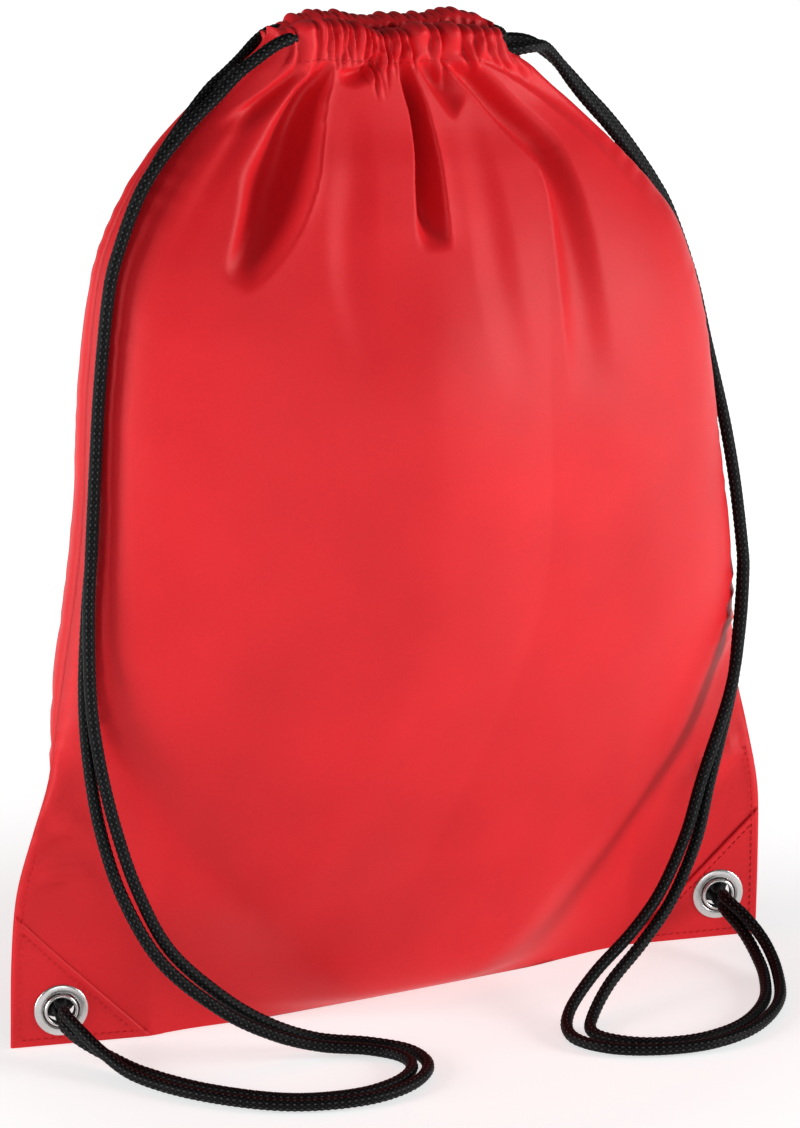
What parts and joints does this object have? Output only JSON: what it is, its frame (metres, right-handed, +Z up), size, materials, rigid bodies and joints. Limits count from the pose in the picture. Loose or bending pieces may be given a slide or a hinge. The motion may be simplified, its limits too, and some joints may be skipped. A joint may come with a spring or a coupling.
{
  "type": "drawstring backpack",
  "caption": "Filled-out drawstring gym bag in red polyester with a gathered neck, black braided cord straps and nickel corner eyelets.",
  "frame": {"origin": "on the floor under the middle of the bottom seam, in the plane of the side seams", "axes": "+X to the bag's left-hand side as worn, which is the right of its front view; +Y from the front panel to the back panel; +Z up to the neck"},
  "size_m": [0.3377, 0.1901, 0.4231],
  "materials": {
    "red_polyester": "satin woven polyester",
    "red_seam": "stitched polyester seam",
    "black_cord": "braided polyester cord",
    "nickel": "nickel-plated steel"
  },
  "bodies": {
    "root": {"back_drawcord_channel": "red_polyester", "back_panel": "red_polyester", "bottom_seam": "red_seam", "front_panel": "red_polyester", "left_back_corner_patch": "red_polyester", "left_cord_back_strand": "black_cord", "left_cord_front_strand": "black_cord", "left_cord_neck_loop": "black_cord", "left_eyelet_grommet": "nickel", "left_eyelet_washer": "nickel", "left_front_corner_patch": "red_polyester", "left_side_seam": "red_seam", "right_back_corner_patch": "red_polyester", "right_cord_back_strand": "black_cord", "right_cord_front_strand": "black_cord", "right_cord_neck_loop": "black_cord", "right_eyelet_grommet": "nickel", "right_eyelet_washer": "nickel", "right_front_corner_patch": "red_polyester", "right_side_seam": "red_seam"},
    "front_hem": {"front_drawcord_channel": "red_polyester"},
    "left_knot_body": {"left_knot": "black_cord"},
    "right_knot_body": {"right_knot": "black_cord"}
  },
  "joints": [
    {"name": "mouth_open", "type": "slide", "parent": "root", "child": "front_hem", "axis": [0, -1, 0], "range_m": [0, 0.02], "deforming": ["left_cord_neck_loop", "right_cord_neck_loop"]},
    {"name": "left_knot_pull", "type": "slide", "parent": "root", "child": "left_knot_body", "axis": [0.225, 0.9744, 0], "range_m": [0, 0.012]},
    {"name": "right_knot_pull", "type": "slide", "parent": "root", "child": "right_knot_body", "axis": [0.2079, 0.9781, 0], "range_m": [0, 0.012]}
  ]
}
